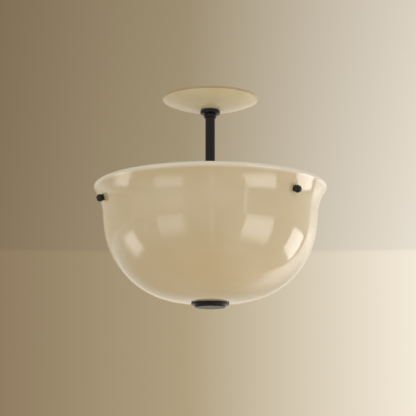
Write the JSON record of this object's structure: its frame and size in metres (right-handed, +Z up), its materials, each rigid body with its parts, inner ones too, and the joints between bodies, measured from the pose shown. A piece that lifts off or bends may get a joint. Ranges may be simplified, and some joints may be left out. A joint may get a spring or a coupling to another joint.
{
  "type": "semi flush ceiling light",
  "caption": "Semi flush ceiling light: a deep cased-glass bowl under a short stem and dished canopy, held by side knobs and a finial",
  "frame": {"origin": "on the stem's axis in the plane of the ceiling, at the crossbar's top face", "axes": "+Z up along the stem towards the ceiling, -Y the front that the picture shows, +X along the crossbar"},
  "size_m": [0.3996, 0.3996, 0.3654],
  "materials": {
    "zinc_steel": "zinc plated",
    "ground_green": "satin",
    "dark_bronze": "satin",
    "bronze_spider": "satin",
    "cream_enamel": "gloss",
    "white_enamel": "gloss",
    "felt": "matte",
    "cased_glass": "gloss",
    "black_rubber": "matte",
    "porcelain": "gloss",
    "shell_brass": "satin",
    "lamp_nickel": "satin",
    "frosted_glass": "frosted"
  },
  "bodies": {
    "frame": {"crossbar": "zinc_steel", "ground_screw": "ground_green", "ceiling_nipple": "zinc_steel", "crossbar_nuts": "zinc_steel", "lock_washers": "zinc_steel", "stem": "dark_bronze", "stem_top_bush": "zinc_steel", "stem_lower_bush": "zinc_steel", "glass_bowl": "cased_glass", "side_grommets": "black_rubber", "spider_hub": "bronze_spider", "hub_set_screw": "zinc_steel", "arm_screws": "zinc_steel", "weld_nuts": "zinc_steel", "cluster_cup": "white_enamel", "cluster_cover": "white_enamel", "holder_nipples": "zinc_steel", "centre_rod": "zinc_steel", "rod_nuts": "zinc_steel", "check_plate": "zinc_steel", "bowl_seat": "black_rubber", "spider_arm_front_right": "bronze_spider", "spider_arm_rear": "bronze_spider", "spider_arm_front_left": "bronze_spider", "lampholder_front": "porcelain", "screw_shell_front": "shell_brass", "centre_contact_front": "shell_brass", "lampholder_right": "porcelain", "screw_shell_right": "shell_brass", "centre_contact_right": "shell_brass", "lampholder_left": "porcelain", "screw_shell_left": "shell_brass", "centre_contact_left": "shell_brass"},
    "canopy_set": {"canopy": "cream_enamel", "canopy_felt": "felt", "canopy_collar": "dark_bronze"},
    "collar_screw": {"collar_set_screw": "zinc_steel"},
    "washer_front_right": {"knob_washer_front_right": "black_rubber"},
    "knob_front_right": {"knob_front_right": "dark_bronze", "knob_screw_front_right": "zinc_steel"},
    "washer_rear": {"knob_washer_rear": "black_rubber"},
    "knob_rear": {"knob_rear": "dark_bronze", "knob_screw_rear": "zinc_steel"},
    "washer_front_left": {"knob_washer_front_left": "black_rubber"},
    "knob_front_left": {"knob_front_left": "dark_bronze", "knob_screw_front_left": "zinc_steel"},
    "gasket": {"finial_gasket": "black_rubber"},
    "finial": {"finial_cap": "dark_bronze"},
    "lamp_base_front": {"lamp_cap_front": "lamp_nickel"},
    "lamp_bulb_front": {"lamp_glass_front": "frosted_glass"},
    "lamp_base_right": {"lamp_cap_right": "lamp_nickel"},
    "lamp_bulb_right": {"lamp_glass_right": "frosted_glass"},
    "lamp_base_left": {"lamp_cap_left": "lamp_nickel"},
    "lamp_bulb_left": {"lamp_glass_left": "frosted_glass"}
  },
  "joints": [
    {"name": "canopy_slide", "type": "slide", "parent": "frame", "child": "canopy_set", "axis": [0, 0, -1], "range_m": [0, 0.12]},
    {"name": "collar_screw_turn", "type": "hinge", "parent": "canopy_set", "child": "collar_screw", "pos_m": [0, 0.0106, -0.0314], "axis": [0, 1, 0], "range_deg": [0, 720]},
    {"name": "knob_front_right_draw", "type": "slide", "parent": "frame", "child": "washer_front_right", "axis": [0.7028, -0.6508, -0.2874], "range_m": [0, 0.00641]},
    {"name": "knob_front_right_turn", "type": "hinge", "parent": "washer_front_right", "child": "knob_front_right", "pos_m": [0.13772, -0.12753, -0.18583], "axis": [0.7028, -0.6508, -0.2874], "range_deg": [0, 2880]},
    {"name": "knob_rear_draw", "type": "slide", "parent": "frame", "child": "washer_rear", "axis": [0.2122, 0.934, -0.2874], "range_m": [0, 0.00641]},
    {"name": "knob_rear_turn", "type": "hinge", "parent": "washer_rear", "child": "knob_rear", "pos_m": [0.04158, 0.18303, -0.18583], "axis": [0.2122, 0.934, -0.2874], "range_deg": [0, 2880]},
    {"name": "knob_front_left_draw", "type": "slide", "parent": "frame", "child": "washer_front_left", "axis": [-0.915, -0.2832, -0.2874], "range_m": [0, 0.00641]},
    {"name": "knob_front_left_turn", "type": "hinge", "parent": "washer_front_left", "child": "knob_front_left", "pos_m": [-0.1793, -0.0555, -0.18583], "axis": [-0.915, -0.2832, -0.2874], "range_deg": [0, 2880]},
    {"name": "finial_draw", "type": "slide", "parent": "frame", "child": "gasket", "axis": [0, 0, -1], "range_m": [0, 0.01375]},
    {"name": "finial_turn", "type": "hinge", "parent": "gasket", "child": "finial", "pos_m": [0, 0, -0.365], "axis": [0, 0, -1], "range_deg": [0, 5266]},
    {"name": "lamp_front_draw", "type": "slide", "parent": "frame", "child": "lamp_base_front", "axis": [-0.1915, -0.8858, 0.4226], "range_m": [0, 0.01816]},
    {"name": "lamp_front_turn", "type": "hinge", "parent": "lamp_base_front", "child": "lamp_bulb_front", "pos_m": [-0.01915, -0.08858, -0.22574], "axis": [-0.1915, -0.8858, 0.4226], "range_deg": [0, 1800]},
    {"name": "lamp_right_draw", "type": "slide", "parent": "frame", "child": "lamp_base_right", "axis": [0.8629, 0.2771, 0.4226], "range_m": [0, 0.01816]},
    {"name": "lamp_right_turn", "type": "hinge", "parent": "lamp_base_right", "child": "lamp_bulb_right", "pos_m": [0.08629, 0.02771, -0.22574], "axis": [0.8629, 0.2771, 0.4226], "range_deg": [0, 1800]},
    {"name": "lamp_left_draw", "type": "slide", "parent": "frame", "child": "lamp_base_left", "axis": [-0.6714, 0.6088, 0.4226], "range_m": [0, 0.01816]},
    {"name": "lamp_left_turn", "type": "hinge", "parent": "lamp_base_left", "child": "lamp_bulb_left", "pos_m": [-0.06714, 0.06088, -0.22574], "axis": [-0.6714, 0.6088, 0.4226], "range_deg": [0, 1800]}
  ],
  "couplings": [
    {"joint": "knob_front_right_draw", "follows": "knob_front_right_turn", "m_per_rad": 0.00012732},
    {"joint": "knob_rear_draw", "follows": "knob_rear_turn", "m_per_rad": 0.00012732},
    {"joint": "knob_front_left_draw", "follows": "knob_front_left_turn", "m_per_rad": 0.00012732},
    {"joint": "finial_draw", "follows": "finial_turn", "m_per_rad": 0.00014961},
    {"joint": "lamp_front_draw", "follows": "lamp_front_turn", "m_per_rad": 0.00057773},
    {"joint": "lamp_right_draw", "follows": "lamp_right_turn", "m_per_rad": 0.00057773},
    {"joint": "lamp_left_draw", "follows": "lamp_left_turn", "m_per_rad": 0.00057773}
  ]
}
